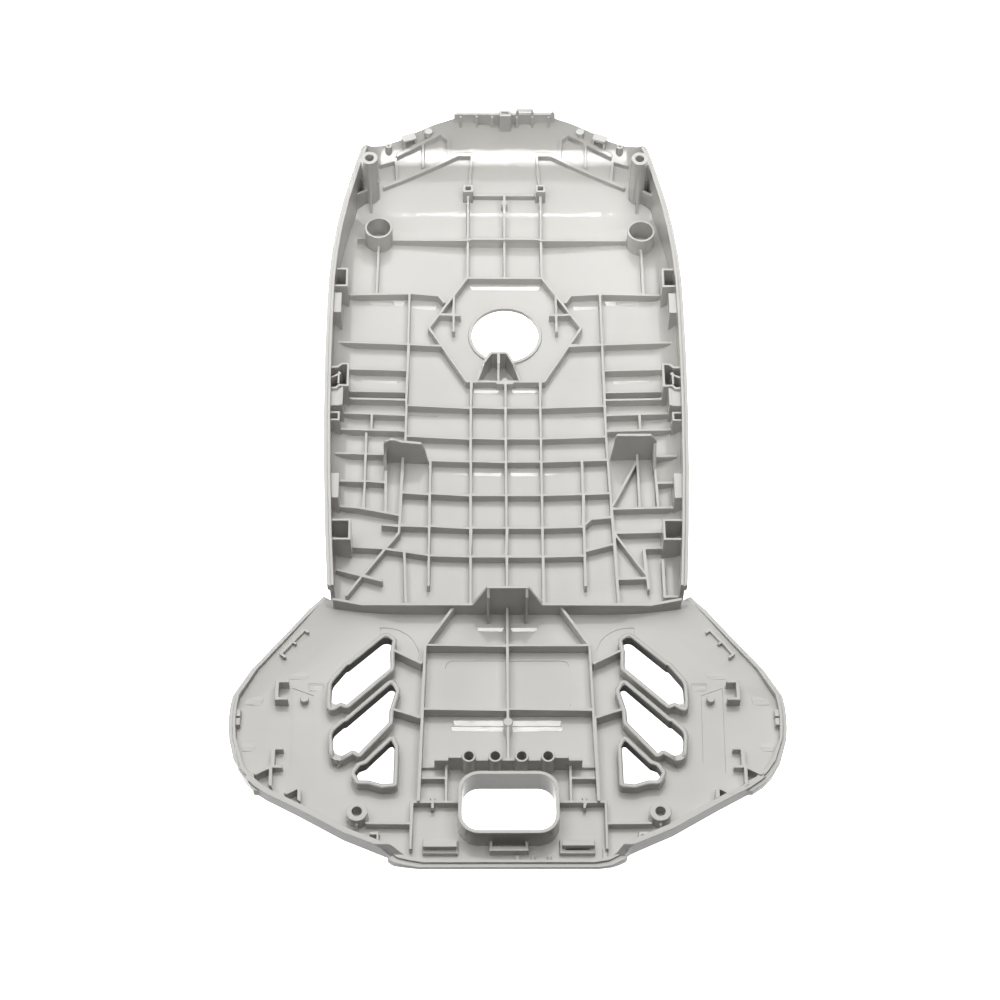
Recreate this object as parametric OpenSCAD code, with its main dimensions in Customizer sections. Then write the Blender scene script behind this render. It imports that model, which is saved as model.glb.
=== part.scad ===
// Rear half of an injection moulded housing, lying on its outer back with the ribbed inside up.
// X runs across, Y runs from the flared base to the curled neck, Z is the direction of draw.

/* [Shell] */
// Thickness of the outer wall
wall_t = 2.2; // [1.6:0.1:2.6]
// Width of the trunk at its widest
trunk_w = 184.4; // [182:0.2:190]
// Width of the trunk where it meets the base
waist_w = 171.6; // [168:0.2:174]
// Width of the trunk at the shoulders
shoulder_w = 154; // [150:1:158]
// Width of the base across the wings
base_w = 262; // [256:1:270]
// Height of the side walls at the waist
waist_rim_z = 24; // [22:1:27]
// Height of the side walls at the shoulders
shoulder_rim_z = 36; // [34:1:40]
// Height of the rim round the wings
wing_rim_z = 10.8; // [9.5:0.1:12]
// Height of the rim along the bottom edge
base_rim_z = 6; // [5:0.5:8]
// Rise of the floor from the middle of the trunk to its sides
dish_z = 3.2; // [2:0.2:4]
// Radius of the curl that lifts the neck
curl_r = 75; // [72:1:80]
// Width that the rim's ledge adds outside the wall
ledge_w = 1.2; // [0.6:0.1:1.6]
// Thickness of the lip that stands on the rim
lip_t = 1.5; // [1.2:0.1:1.8]
// Height of the lip over the ledge
lip_h = 1.3; // [0.8:0.1:1.6]

/* [Ribs] */
// Thickness of the ribs
rib_t = 1.4; // [1:0.1:1.8]
// Height of the ribs over the floor
rib_h = 5; // [4:0.25:6]
// Height of the ribs around the box over the slot
box_rib_h = 6.5; // [5.5:0.25:8]
// Top of the wall at the waist
waist_rib_z = 12; // [10:0.5:14]
// Top of the block in the middle of the waist
waist_block_z = 28; // [24:1:30]
// Top of the two tall baffles
baffle_z = 26; // [23:0.5:28]

/* [Openings] */
// Radius of the round hole
hole_r = 17.8; // [15:0.2:18.5]
// Height of the collar around the round hole
collar_h = 1.2; // [0.8:0.2:4]
// Width of the slot
slot_w = 43.2; // [38:0.4:44]
// Length of the slot along Y
slot_l = 28.2; // [24:0.2:29]
// Top of the wall around the slot
slot_wall_z = 16; // [13:0.5:18]
// Height of the wall around each vent
vent_wall_h = 6; // [5:0.5:8]
// Thickness of the walls around the slot and the vents
frame_t = 1.8; // [1.6:0.1:2]

/* [Screw bosses] */
// Distance between the upper bosses
upper_boss_span = 146; // [142:1:148]
// Top of the upper bosses
upper_boss_z = 42; // [38:1:44]
// Outer radius of the upper bosses
upper_boss_r = 4.5; // [4.2:0.1:5.2]
// Distance between the lower bosses
lower_boss_span = 139.8; // [136:0.2:142]
// Top of the lower bosses
lower_boss_z = 11; // [10:0.5:14]
// Outer radius of the lower bosses
lower_boss_r = 5; // [4.5:0.1:5.5]
// Radius of the screw holes in the bosses
screw_r = 2.3; // [1.8:0.1:2.6]
// Pitch of the four guide tubes over the slot
guide_pitch = 12.3; // [11:0.1:13]
// Outer radius of the guide tubes
guide_r = 3.3; // [3.1:0.1:4]
// Radius of the holes in the guide tubes
guide_hole_r = 2.2; // [2:0.1:2.6]
// Top of the guide tubes
guide_z = 16; // [13:0.5:18]

/* [Socket tubes] */
// Outer radius of the two large tubes
tube_r = 7.5; // [7:0.1:8.5]
// Wall of the two large tubes
tube_wall = 1.2; // [0.8:0.1:1.6]
// Top of the two large tubes
tube_z = 17; // [14:0.5:20]

/* [Hidden] */
$fn = 48;

// Places along Y, measured from the middle of the part
curl_y = 140;
neck_y = 205;
shoulder_y = 190;
wide_y = 86;
waist_y = -87.4;
bottom_y = -222.6;
neck_lip = 0.6;
shift_y = -(bottom_y - ledge_w + neck_y + neck_lip) / 2;
hole_y = 85.4;
upper_boss_y = 176;
tube_y = 147;
tube_places = [[-68.2, 148.3], [74, 146.4]];
slot_y = -195.9;
guide_y = -172.2;
lower_boss_y = -198.2;
tall = 70;
far = 400;
eps = 0.05;

// Curves and outlines
function bezier(a, b, c, n) = [for (i = [0 : n]) let (t = i / n)
    (1 - t) * (1 - t) * a + 2 * t * (1 - t) * b + t * t * c];
function flip(points) = [for (i = [len(points) - 1 : -1 : 0]) [-points[i].x, points[i].y]];
function both(points) = concat(points, flip(points));
function unit(v) = v / norm(v);
function corner(p, q, s, r, n) = let (
    a = unit(p - q), b = unit(s - q),
    half = acos(max(-1, min(1, a * b))) / 2,
    d = r / tan(half),
    centre = q + unit(a + b) * r / sin(half),
    from = atan2((q + a * d - centre).y, (q + a * d - centre).x),
    to = atan2((q + b * d - centre).y, (q + b * d - centre).x),
    turn = to - from > 180 ? to - from - 360 : to - from < -180 ? to - from + 360 : to - from)
    [for (i = [0 : n]) centre + r * [cos(from + turn * i / n), sin(from + turn * i / n)]];
function rounded(points, radii, n = 4) = let (k = len(points))
    [for (i = [0 : k - 1]) each corner(points[(i + k - 1) % k], points[i], points[(i + 1) % k], radii[i], n)];
function grown(points, d) = let (k = len(points)) [for (i = [0 : k - 1]) let (
    q = points[i],
    a = unit(q - points[(i + k - 1) % k]), b = unit(points[(i + 1) % k] - q),
    m = unit([a.y, -a.x] + [b.y, -b.x]))
    q + m * d / max(0.3, m * [a.y, -a.x])];

// Height of the underside of the shell at a place on the trunk or the base
function curl_rise(y) = y <= curl_y ? 0 : curl_r - sqrt(pow(curl_r, 2) - pow(y - curl_y, 2));
dish = [[18, 0], [55, dish_z * 0.62], [78, dish_z * 0.97]];
wing_lift = 4;
base_dish = [[18, 0], [60, 0.9], [95, 2.2]];
corner_r = 15;
side_x = trunk_w / 2 - 0.5;
trunk_corner = [for (a = [15 : 15 : 90]) [side_x - corner_r + corner_r * sin(a), dish_z + corner_r * (1 - cos(a))]];

// Across the wings a distance outside the waist stretches with the base
wing_unit = (base_w - waist_w) / 90.4;
function wing_x(d) = waist_w / 2 + d * wing_unit;
half_w = trunk_w / 2;

// Half outlines seen from above, from the bottom round to the top
trunk_side = concat(
    [[waist_w / 2, waist_y - 0.6]],
    bezier([waist_w / 2, waist_y], [(waist_w + trunk_w) / 4 + 3.6, 2], [trunk_w / 2, wide_y], 5),
    bezier([trunk_w / 2, wide_y], [trunk_w / 2 + 0.6, 140], [shoulder_w / 2, shoulder_y], 6));
neck_edge = [[shoulder_w / 2 - 1.4, 196.8], [72.9, 196.4], [66.5, 196.6], [56, 198.7], [48.1, 201.1], [38.6, 203.2], [27.5, neck_y]];
diagonal_end = [56, -216.2];
base_side = concat(
    bezier([40, bottom_y], [50, bottom_y + 0.8], diagonal_end, 3),
    [[76, -207.6], [wing_x(11.2), -195.6]],
    bezier([wing_x(26.2), -187.6], [wing_x(35.2), -182.4], [wing_x(39.7), -174.5], 3),
    bezier([base_w / 2 - 1.2, -160], [base_w / 2 + 0.6, -147], [base_w / 2 - 1.5, -137], 4),
    bezier([wing_x(35.7), -122.8], [wing_x(15.2), -97], [wing_x(4.6), -82.6], 4),
    [[waist_w / 2 + 1.2, -84]]);

module extrude_x(points) rotate([90, 0, 90]) translate([0, 0, -far / 2]) linear_extrude(far) polygon(points);
module extrude_y(points) rotate([90, 0, 0]) translate([0, 0, -far]) linear_extrude(2 * far) polygon(points);

// Space over the long curve of the back, raised by lift
curl_steps = 12;
module over_curl(lift) {
    last = asin(min(0.96, (neck_y + 3 - curl_y) / (curl_r - lift)));
    extrude_x(concat(
        [[-far, tall + 1], [-far, lift]],
        [for (i = [0 : curl_steps]) let (a = last * i / curl_steps) [curl_y, curl_r] + (curl_r - lift) * [sin(a), -cos(a)]],
        [[neck_y + 3, tall + 1]]));
}

// Space over the dished section of the trunk or the base, raised by lift
module over_dish(side, lift) {
    raised = [for (p = side) p + [0, lift]];
    end = raised[len(raised) - 1];
    extrude_y(both(concat(raised, [[end.x + 0.01, tall + 2]])));
}
module over_trunk(lift) intersection() {
    over_curl(lift);
    over_dish(concat(dish, trunk_corner, [[side_x + 8, dish_z + corner_r + 30]]), lift);
}
module over_trunk_ribs(h) intersection() {
    over_curl(wall_t + h);
    over_dish(concat(dish, [[trunk_w / 2 + 8, dish_z + 0.6]]), wall_t + h);
}

// The back of the base rises to the corners of the waist and rounds up to the bottom edge
module over_ramp(side, lift) translate([side * 78, -96, lift + 2.4])
    rotate([0, 0, side > 0 ? 45 : 135])
        extrude_y(concat([[-far, -3]], bezier([-14, -1.4], [0, -0.6], [13, 5.4], 5), [[60, 27], [60, tall + 4], [-far, tall + 4]]));
module over_base(lift) intersection() {
    over_dish(concat(base_dish, [[base_w / 2 + 6, wing_lift]]), lift);
    over_ramp(1, lift);
    over_ramp(-1, lift);
    extrude_x([[bottom_y - 3, tall], [bottom_y - 3, lift + 5], [bottom_y - ledge_w, lift + 3.2], [bottom_y + 1.4, lift + 1.4],
        [bottom_y + 4, lift + 0.4], [bottom_y + 7, lift], [far, lift], [far, tall]]);
}

// Everything inside the trunk or the base, drawn in by inset
module trunk_plan(inset, head = 0) polygon(both(concat(
    [for (p = trunk_side) p - [inset, 0]],
    [for (p = neck_edge) p + [0, head]])));
// The lower diagonals lean a little, so the left one lies lower than the right one
base_lean = 0.014;
function leaned(points) = [for (p = points) p + [0, abs(p.x) > 50 && p.y < -161 ? base_lean * p.x : 0]];
module base_plan(inset) polygon(leaned(both([for (p = base_side) p - [inset, -inset * (p.y < -170 ? 1 : 0)]])));
module trunk_body(inset, head = 0) intersection() {
    over_trunk(max(0, inset));
    linear_extrude(tall) trunk_plan(inset, head);
}
module base_body(inset) intersection() {
    over_base(max(0, inset));
    linear_extrude(tall) base_plan(inset);
}

// Side view of the space between a depth under the rim and the rim line
trunk_rim = [[-far, waist_rim_z], [-80, waist_rim_z], [wide_y, waist_rim_z + 3], [172, shoulder_rim_z - 3],
    [shoulder_y - 2, shoulder_rim_z - 0.2], [shoulder_y + 2, shoulder_rim_z - 0.8], [shoulder_y + 5, shoulder_rim_z - 3.4],
    [shoulder_y + 7, shoulder_rim_z - 6.6], [shoulder_y + 9, shoulder_rim_z - 3.6], [neck_y + 4, shoulder_rim_z + 24]];
base_rim = [[-far, base_rim_z], [diagonal_end.y - 1.8, base_rim_z + 0.6], [diagonal_end.y + 1.6, wing_rim_z - 0.3],
    [-150, wing_rim_z], [-110, wing_rim_z + 0.6], [far, wing_rim_z + 1.2]];
function under(line, d) = concat([for (p = line) p - [0, d]], [[line[len(line) - 1].x, -20], [line[0].x, -20]]);
function between(line, d, e) = concat([for (p = line) p - [0, d]],
    [for (i = [len(line) - 1 : -1 : 0]) line[i] - [0, e]]);
rim_band = 6;

module trunk_shell() {
    intersection() {
        trunk_body(0);
        extrude_x(under(trunk_rim, lip_h));
    }
    intersection() {
        trunk_body(wall_t - lip_t);
        extrude_x(under(trunk_rim, 0));
    }
    intersection() {
        trunk_body(-ledge_w);
        extrude_x(between(trunk_rim, lip_h, rim_band));
        translate([-far / 2, -far, 0]) cube([far, far + shoulder_y + 3, far]);
    }
}
module base_shell() {
    intersection() {
        base_body(0);
        extrude_x(under(base_rim, lip_h));
    }
    intersection() {
        base_body(wall_t - lip_t);
        extrude_x(under(base_rim, 0));
    }
    // Along the lower diagonals the wall rises to the lip with no ledge
    intersection() {
        base_body(0);
        extrude_x(under(base_rim, 0));
        translate([-far / 2, diagonal_end.y, 0]) cube([far, -180 - diagonal_end.y, far]);
    }
    difference() {
        intersection() {
            base_body(-ledge_w);
            extrude_x(between(base_rim, lip_h, rim_band));
        }
        mirrored() translate([0, 0, -1]) linear_extrude(tall) polygon([[0, diagonal_end.y], [50, diagonal_end.y],
            [59, diagonal_end.y - 5], [far, diagonal_end.y - 5], [far, -164], [base_w / 2 + 1.6, -164], [118, -187], [0, -187]]);
    }
}
module shell() difference() {
    union() {
        trunk_shell();
        base_shell();
    }
    trunk_body(wall_t, 12);
    base_body(wall_t);
    panels();
}

// Shallow steps where the floor is a little thinner
panel_d = 0.35;
module panels() {
    intersection() {
        over_trunk(wall_t - panel_d);
        linear_extrude(tall) for (side = [-1, 1]) translate([side * 43 - 8, 20]) square([16, 12]);
    }
    intersection() {
        over_trunk(wall_t - 2 * panel_d);
        linear_extrude(tall) polygon(both([for (t = [0 : 9 : 90]) [26.6 * cos(t), 208 - 5.6 * sin(t)]]));
    }
    intersection() {
        over_base(wall_t - panel_d);
        linear_extrude(tall) {
            polygon(rounded([[-30, -141], [30, -141], [30, -114], [-30, -114]], [4, 4, 4, 4]));
            mirrored() translate([59.3, -112.1]) difference() {
                circle(16.5);
                translate([2.7, -20]) square([20, 40]);
            }
            mirrored() polygon([[wing_x(5.7), -170], [wing_x(16.2), -176], [wing_x(17.2), -130], [wing_x(6.7), -134]]);
        }
    }
}

// Ribs in plan: strips between points, drawn down into the wall and cut level with the floor
module strip(p, q, w = rib_t) translate(p) rotate(atan2(q.y - p.y, q.x - p.x))
    translate([0, -w / 2]) square([norm(q - p), w]);
module path(points, w = rib_t) for (i = [0 : len(points) - 2]) {
    strip(points[i], points[i + 1], w);
    translate(points[i + 1]) circle(d = w, $fn = 8);
}
module mirrored() {
    children();
    mirror([1, 0, 0]) children();
}
module on_floor(h) difference() {
    intersection() {
        linear_extrude(tall - 1) children();
        union() {
            trunk_body(wall_t / 2);
            base_body(wall_t / 2);
        }
    }
    intersection() {
        over_trunk_ribs(h);
        translate([-far / 2, waist_y, -1]) cube([far, far, tall + 9]);
    }
    intersection() {
        over_base(wall_t + h);
        translate([-far / 2, waist_y - far, -1]) cube([far, far + eps, tall + 9]);
    }
}

module trunk_grid() {
    strip([0, waist_y], [0, 51]);
    strip([0, 122], [0, 173]);
    strip([-38.5, -56.8], [39.4, -56.8]);
    strip([-51.5, 34.7], [51.5, 34.7]);
    strip([-51.5, 15.1], [51.5, 15.1]);
    strip([-40, 0.6], [51.5, 0.6]);
    strip([-53, -20], [52.5, -20]);
    strip([-62.5, -39.7], [39.4, -39.7]);
    strip([-4.7, 51], [4.1, 51], 2.4);
    translate([0, 169]) circle(1.5);
    translate([-0.4, 52.4]) circle(1.4);
    mirrored() {
        strip([18, waist_y], [18, 51]);
        strip([19.9, 121], [19.9, 173]);
        strip([38.6, -75], [38.6, 0.6]);
        path([[51.4, 15], [51, 109], [83.7, 107]]);
        path([[51, 109], [35.5, 108.6], [32.5, 104]]);
        path([[89.5, 75], [51, 74.8], [34.3, 74.5]]);
        strip([89, 57.4], [52, 57.6]);
        strip([89, 42.9], [52, 43.4]);
        strip([89, 38], [52, 38.4]);
        strip([88, 29], [52, 28.6]);
        strip([88, 18.6], [52, 18.6]);
        strip([69, 28.8], [69, 18.6]);
        strip([27.3, 110], [27.3, 84]);
        strip([23.5, 95.5], [36.5, 95.5]);
    }
}
hexagon_r = 40.3;
module hexagon_ring() for (i = [0 : 5])
    path([for (j = [i, i + 1]) [hexagon_r * cos(60 * j), hole_y + 1.1 + hexagon_r * sin(60 * j)]]);

module left_braces() {
    strip([-52.5, 0.6], [-53.6, -44]);
    path([[-53.6, -44], [-60.5, -54], [-78.5, -81]]);
    strip([-71.5, 16.7], [-71.5, -29.5]);
    strip([-87, 3.5], [-61, 3.5]);
    strip([-87, -13.5], [-61, -13.5]);
    strip([-61, -6], [-60.5, -31.8]);
    path([[-85, -29], [-76, -29.3], [-53.3, -33.5]]);
    path([[-76.5, -53], [-61, -53.5], [-39, -56.6]]);
    strip([-84, -66.5], [-61, -72.5]);
    strip([-50.8, -55.3], [-49.5, waist_y]);
    strip([-51.4, 15.1], [-52.5, 0.6]);
    strip([-80, 146.6], [-75, 146.6]);
}
// The outermost brace stands where the corner of the section begins to rise
foot_x = min(half_w, waist_w / 2 + 6.4) - 15.2;
module right_braces() {
    strip([51.4, 15.1], [54.6, waist_y]);
    strip([66.8, 4], [67, -29.5]);
    strip([75.6, -6], [76.3, -29.5]);
    strip([66.4, -1], [53.2, -28]);
    strip([75.5, 2], [87, 2]);
    strip([75.8, -14.5], [87, -14.5]);
    strip([52.8, -29.5], [86, -29.5]);
    strip([53.4, -44], [78.5, -44]);
    path([[77, -53.5], [68, -53.5], [69.5, -77]]);
    strip([54.4, -71], [69, -71]);
    strip([53.6, -44], [69, -69.5]);
    strip([39, -54.3], [53.6, -50.3]);
    path([[39, -38.5], [43, -35.2], [53, -34.5]]);
    path([[foot_x, -60], [foot_x, -82], [foot_x + 6, -82]]);
}
module tube_ribs() for (p = tube_places) strip(p, [p.x + sign(p.x) * 0.4, 108]);
module neck_ribs() mirrored() {
    path([[68.5, 187.5], [59.6, 189.3], [59, 180.5]]);
    path([[59.3, 190.8], [35, 198.6], [31, 196.8], [30.6, 190]]);
    strip([44.6, 195.4], [44.6, 186]);
    path([[66.5, 177.6], [25.5, 191.2], [17.8, 191.2], [19.6, 175]]);
}
module base_grid() {
    strip([0, waist_y], [0, guide_y]);
    strip([-39.8, -109], [39.8, -109]);
    strip([-40.6, -144], [40.6, -144]);
    mirrored() {
        path([[26, waist_y], [39.6, -109], [41.7, -191.6]]);
        strip([41, -119.2], [57, -110.6]);
        strip([41.4, -148.5], [56, -143.4]);
    }
}
module base_braces() mirrored() {
    strip([29, guide_y], [29, -191.6]);
    strip([29, -179.3], [41, -179.3]);
    strip([22.5, -191.6], [45, -191.6]);
    strip([45, -191], [45, -215.6]);
    strip([45, -202.6], [66, -202.6]);
    strip([35.2, -189.2], [35.2, -195]);
    translate([35.2, -189.4]) circle(1.3);
    path([[8.2, -205], [8.2, -215.4]]);
    strip([8.9, -215.4], [0, -215.4], 2.2);
}
module bottom_nubs() {
    for (x = [3.8, 11, 18.5]) strip([x, -217.4], [x, -220.6], 1.7);
    strip([44.2, -213.6], [44.2, -220], 2);
}
loop_y = -213.2;
module lower_loops() mirrored() translate([31.4, loop_y]) difference() {
    square([16, 7.4], center = true);
    translate([0, -0.4]) square([10.8, 2.8], center = true);
}

neck_rib_h = 2.2;
module floor_ribs() {
    on_floor(rib_h) {
        trunk_grid();
        hexagon_ring();
        left_braces();
        right_braces();
        tube_ribs();
    }
    on_floor(neck_rib_h) translate([0, 0.8]) neck_ribs();
    on_floor(box_rib_h) base_grid();
    on_floor(rib_h - 0.4) base_braces();
    on_floor(2.6) lower_loops();
    on_floor(2) bottom_nubs();
}

// Walls and plates with a level top
module plate_y(y, points, t = rib_t) translate([0, y + t / 2, 0]) rotate([90, 0, 0]) linear_extrude(t) polygon(points);
module plate_x(x, points, t = rib_t) translate([x - t / 2, 0, 0]) rotate([90, 0, 90]) linear_extrude(t) polygon(points);

module waist_wall() {
    foot = wall_t / 2;
    half = waist_w / 2 - foot;
    plate_y(waist_y, both([[half, dish_z + foot], [half, waist_rib_z + 5], [half - 14, waist_rib_z],
        [17, waist_rib_z], [10, waist_block_z]]), rib_t + 0.2);
    plate_y(waist_y, [[-half, dish_z + foot], [0, foot], [half, dish_z + foot]], rib_t);
    mirrored() plate_x(10 - rib_t / 2, [[waist_y, foot], [waist_y, waist_block_z],
        [waist_y - 4.5, waist_block_z - 3], [waist_y - 6, foot]]);
}
tube_foot = dish_z * 0.62 + wall_t / 2;
module tube_wall_rib() plate_y(tube_y, [[tube_places[0].x, tube_foot], [tube_places[0].x, 8.4], [-20, 8.4], [-18, 9.4],
    [18, 9.4], [20, 8.4], [tube_places[1].x, 8.4], [tube_places[1].x, tube_foot], [18, wall_t / 2], [-18, wall_t / 2]]);

module baffles() {
    plate_y(2.4, [[-62, 4], [-62, baffle_z - 6], [-61, baffle_z - 3.4], [-58.5, baffle_z - 1.8], [-56, baffle_z - 2],
        [-52.7, baffle_z - 3.8], [-42.8, baffle_z - 5.4], [-41, 14], [-39.6, 4]], 1.6);
    plate_x(-61.2, [[3, 4], [3, baffle_z - 5], [-4, 14], [-7, 9], [-7, 4]], 1.6);
    plate_y(4, [[53.5, 4], [55, baffle_z - 2], [56, baffle_z], [73, baffle_z], [76, baffle_z - 4], [76, 4]], 1.6);
    plate_x(75.3, [[4.6, 4], [4.6, baffle_z - 5], [-3, 14], [-6, 9], [-6, 4]], 1.6);
}

// Three-sided stop that stands behind the round hole
stop_x = -3.6;
stop_z = 15;
stop_half = 4.2;
stop_front_y = 51.4;
module stop() translate([stop_x, 0, 0]) {
    plate_y(64.6, [[-stop_half, wall_t / 2], [-stop_half, stop_z], [stop_half, stop_z], [stop_half, wall_t / 2]]);
    run = 64.6 - stop_front_y;
    side = [[0, wall_t / 2], [0, stop_z], [-run / 2, stop_z - 0.6], [-run, wall_t + rib_h], [-run, wall_t / 2]];
    translate([0, 64.6, 0]) plate_x(0, side);
    for (s = [-1, 1]) translate([s * stop_half, 64.6, 0]) rotate([0, 0, s * 29]) plate_x(0, side * [[1.14, 0], [0, 1]]);
}
module cross_rib() plate_y(175.5, [[-20, 9], [-20, 12.4], [20, 12.4], [20, 9]]);

// Round features
module collar() translate([0, hole_y, wall_t / 2]) cylinder(r = hole_r + frame_t, h = wall_t / 2 + collar_h);
module upper_boss(side) {
    x = side * upper_boss_span / 2;
    inner = x - side * 2.3;
    translate([x, upper_boss_y, 8]) cylinder(r = upper_boss_r, h = upper_boss_z - 8);
    translate([inner - 2.3, 173.6, 8]) cube([4.6, 5, 17]);
    plate_x(x, [[upper_boss_y, 6], [upper_boss_y, 21], [upper_boss_y - 4.4, 20.6], [upper_boss_y - 9.4, 7.4],
        [upper_boss_y - 9.4, 4.5]]);
    intersection() {
        union() {
            linear_extrude(20) strip([x, upper_boss_y - 1.6], [x + side * 14, upper_boss_y - 10.6]);
            linear_extrude(23) strip([x, upper_boss_y + 2], [x + side * 14, upper_boss_y + 2]);
        }
        trunk_body(wall_t / 2);
    }
}
module boss_bore(x, y, z, depth, r) translate([x, y, z - depth]) cylinder(r = r, h = depth + 1);
module lower_boss(side) {
    x = side * lower_boss_span / 2;
    translate([x, lower_boss_y, wall_t / 2 + 1]) cylinder(r = lower_boss_r, h = lower_boss_z - wall_t / 2 - 1);
    plate_x(x, [[lower_boss_y, 2.4], [lower_boss_y, 9], [lower_boss_y - 6, 8.5], [lower_boss_y - 9, 2.6]], 1.2);
}
module socket_tube(p) translate([p.x, p.y, wall_t * 0.8 + curl_rise(p.y)]) cylinder(r = tube_r, h = tube_z - wall_t * 0.8 - curl_rise(p.y));
module guide_tubes() {
    for (i = [-1.5 : 1 : 1.5]) translate([i * guide_pitch, guide_y, wall_t / 2]) cylinder(r = guide_r, h = guide_z - wall_t / 2);
    plate_y(guide_y, both([[41.7, 1.6], [41.7, 5], [34.6, 5], [34.6, 12.2], [28, 12.2], [28, 15], [17, 15], [17, 12.4]]));
}
module square_boxes() mirrored() translate([19.8, 175, 7]) linear_extrude(12) difference() {
    square(5.4, center = true);
    square(2.8, center = true);
}

// Slot and vents
slot_outline = rounded([[-slot_w / 2, slot_y - slot_l / 2], [slot_w / 2, slot_y - slot_l / 2],
    [slot_w / 2, slot_y + slot_l / 2], [-slot_w / 2, slot_y + slot_l / 2]], [8, 8, 8, 8], 6);
vents = [
    [[84, -144], [84, -130.5], [77, -120.6], [75.8, -120.2], [58.8, -103.6], [55.4, -106.4], [56.4, -112.6], [56, -121.6],
        [76.4, -142], [79.4, -140.8]],
    [[81.4, -172], [82.9, -157], [77.4, -151.2], [76, -150.8], [55.4, -129.8], [53.2, -134], [56, -144.6], [56.2, -151],
        [70, -167.8], [72.6, -165.8]],
    [[71.6, -178], [69.2, -174.2], [66.2, -173], [54.8, -160.4], [53.2, -164], [53.4, -183], [58.6, -183.6], [64.8, -181.8],
        [69.6, -181.8]]];
vent_radii = [
    [2.6, 8, 1.2, 1.2, 3.2, 1.4, 1.5, 3, 1, 0.9],
    [4, 6, 1, 1, 1.5, 2, 2, 3, 0.9, 0.9],
    [2, 1.5, 1.5, 1, 1, 1.2, 1.5, 2, 1.5]];
vent_ring_radii = [for (row = vent_radii) [for (r = row) r + 0.4]];
module slot_wall() translate([0, 0, wall_t / 2]) linear_extrude(slot_wall_z - wall_t / 2) polygon(grown(slot_outline, frame_t));
module vent_walls() on_floor(vent_wall_h) mirrored() for (i = [0 : 2])
    polygon(rounded(grown(vents[i], frame_t), vent_ring_radii[i]));
// Each vent is a little wider on the outside of the shell
vent_step = 0.9;
vent_step_z = 4.2;
module vent_holes() mirrored() for (i = [0 : 2]) translate([0, 0, -1]) {
    linear_extrude(tall) polygon(rounded(vents[i], vent_radii[i]));
    linear_extrude(1 + vent_step_z) polygon(rounded(grown(vents[i], vent_step), vent_ring_radii[i]));
}

// Snap fits along the side walls
module snap_box(low, high, wall, z) translate([0, 0, 5]) linear_extrude(z - 5) difference() {
    translate(low) square(high - low);
    translate(low + [wall, wall]) square(high - low - [2 * wall, 2 * wall]);
}
middle_box = [[half_w, 49.7], [half_w - 5.3, 49.7], [half_w - 7.4, 51.8], [half_w - 11.6, 51.8], [half_w - 11.6, 36.4],
    [half_w - 7, 36.8], [half_w - 5.4, 35], [half_w, 35]];
module snap_boxes() intersection() {
    mirrored() {
        snap_box([half_w - 9.2, 101.3], [half_w, 114], 1.3, waist_rim_z + 0.4);
        snap_box([half_w - 15.4, -56.8], [half_w - 4.2, -44.4], 1.3, waist_rim_z - 1.6);
        snap_box([half_w - 7.6, 16.4], [half_w, 22.2], 1.2, waist_rim_z - 3);
        translate([0, 0, 5]) linear_extrude(waist_rim_z - 6) difference() {
            polygon(middle_box);
            polygon(grown(middle_box, -1.3));
        }
        translate([0, 0, 5]) linear_extrude(waist_rim_z - 7) {
            strip([half_w - 6.2, 39], [half_w - 6.2, 46.8], 1.1);
            strip([half_w - 7.4, 46], [half_w - 1.2, 42.2], 1.1);
        }
    }
    trunk_body(wall_t / 2);
}
module wall_tabs() intersection() {
    mirrored() {
        translate([half_w - 6.2, 84.2, 6]) cube([7, 13.2, waist_rim_z - 6]);
        translate([half_w - 8.8, 25.5, 6]) cube([1.5, 11.2, waist_rim_z - 8]);
        translate([half_w - 8.2, 25.5, 6]) cube([7, 11.2, waist_rim_z - 8.6]);
        translate([half_w - 8.6, -31, 5]) cube([6, 15, 16]);
    }
    trunk_body(wall_t / 2);
}

// Neck edge
neck_top_z = 46.4;
module neck_wall() {
    back = neck_y + neck_lip;
    translate([-27.5, back - 1.8, neck_top_z - 10]) cube([55, 1.8, 10]);
    for (x = [-24, -15.2, -6.8, 6.8, 15.2, 24])
        plate_x(x, [[back - 3.4, neck_top_z - 12.6], [back - 3.4, neck_top_z - 8.6], [back - 2.4, neck_top_z - 1.6],
            [back - 1, neck_top_z - 0.6], [back - 1, neck_top_z - 10]], 1.2);
    difference() {
        translate([-2.8, 201.2, neck_top_z - 13.8]) cube([6.2, back - 201.2, 15.4]);
        translate([-1.6, 202.8, neck_top_z - 6]) cube([3.8, 1.6, 10]);
    }
    translate([6.2, back - 1.8, neck_top_z - 1]) difference() {
        cube([9.6, 1.8, 4.2]);
        translate([1.2, -1, 0]) cube([7.2, 4, 3]);
    }
    translate([25.6, back - 1.8, neck_top_z - 1]) cube([1.2, 1.8, 2.4]);
}
module neck_details() mirrored() {
    translate([41.5, 199.8, 27]) cylinder(r = 2.2, h = 10.4);
    difference() {
        translate([63.4, 194.8, 20]) cylinder(r = 1.8, h = 11.2);
        translate([63.4, 194.8, 29.4]) cylinder(r = 0.5, h = 4);
    }
    translate([52.3, 197.4, 0]) rotate([0, 0, -20]) {
        translate([-3.7, -2.4, 33.8]) cube([7.4, 4.6, 1.5]);
        for (x = [-3.7, 2.5]) translate([x, -2.4, 24]) cube([1.2, 4.6, 10]);
    }
}

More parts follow.
